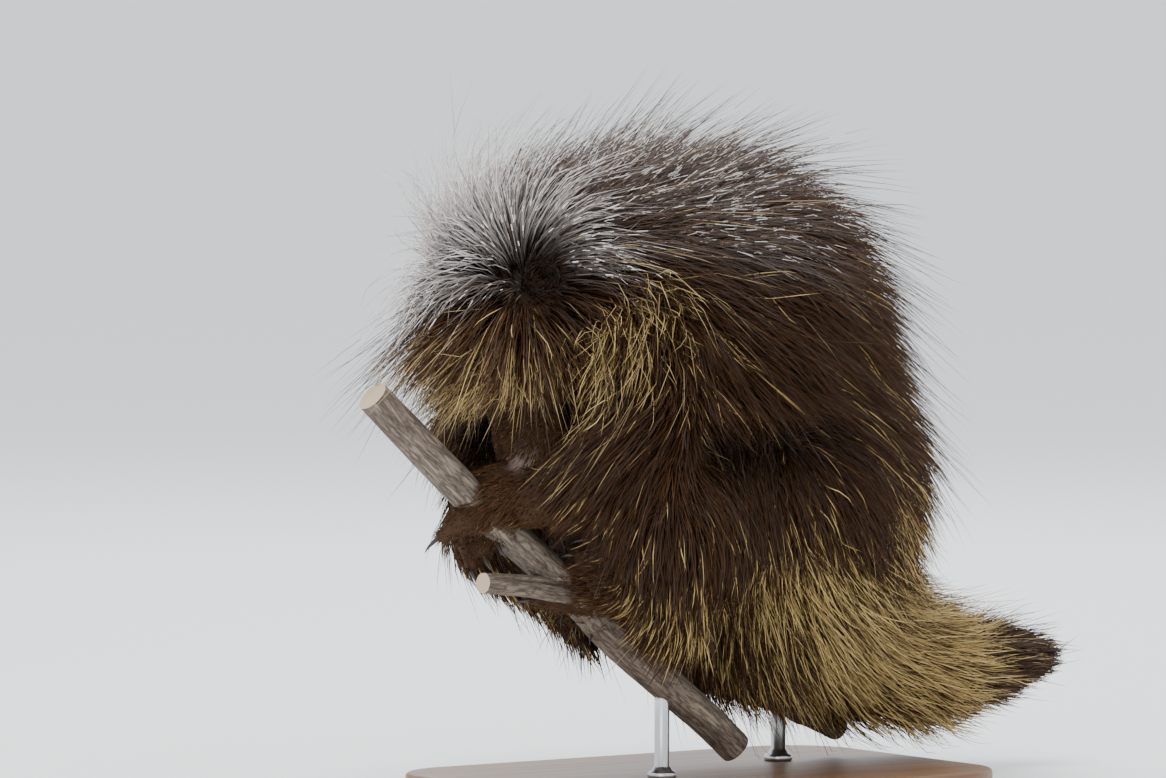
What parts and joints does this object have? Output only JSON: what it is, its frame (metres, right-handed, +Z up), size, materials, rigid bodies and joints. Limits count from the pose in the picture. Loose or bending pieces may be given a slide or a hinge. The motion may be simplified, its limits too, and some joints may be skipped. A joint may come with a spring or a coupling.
{
  "type": "porcupine model on a display stand",
  "caption": "Still life-size model of a North American porcupine hunched asleep on a forked limb, held by a display stand.",
  "frame": {"origin": "centre of the stand base's underside", "axes": "+Z up, the animal faces -X and its left side is towards -Y"},
  "size_m": [0.7248, 0.3614, 0.5603],
  "materials": {
    "dark_coat": "near-black warm brown guard hair with golden tips",
    "golden_coat": "brown fur with golden-yellow tips",
    "short_fur": "short reddish-brown fur with dark horn claws",
    "ear_skin": "thin dark skin with downy hair",
    "eye": "glossy near-black glass eye",
    "bark": "grey-brown willow bark with sawn ends",
    "timber": "satin lacquered timber",
    "steel": "brushed steel rod"
  },
  "bodies": {
    "root": {"head": "dark_coat", "muzzle": "short_fur", "ear_left": "ear_skin", "ear_right": "ear_skin", "eye_left": "eye", "eye_right": "eye", "neck": "dark_coat", "torso": "dark_coat", "rump": "dark_coat", "foreleg_left": "golden_coat", "foreleg_right": "golden_coat", "forepaw_left": "short_fur", "forepaw_right": "short_fur", "hindleg_left": "dark_coat", "hindleg_right": "dark_coat", "hindfoot_left": "short_fur", "hindfoot_right": "short_fur", "tail": "golden_coat", "perch_limb": "bark", "stand_base": "timber", "stand_rod_1": "steel", "stand_rod_2": "steel"}
  },
  "joints": []
}
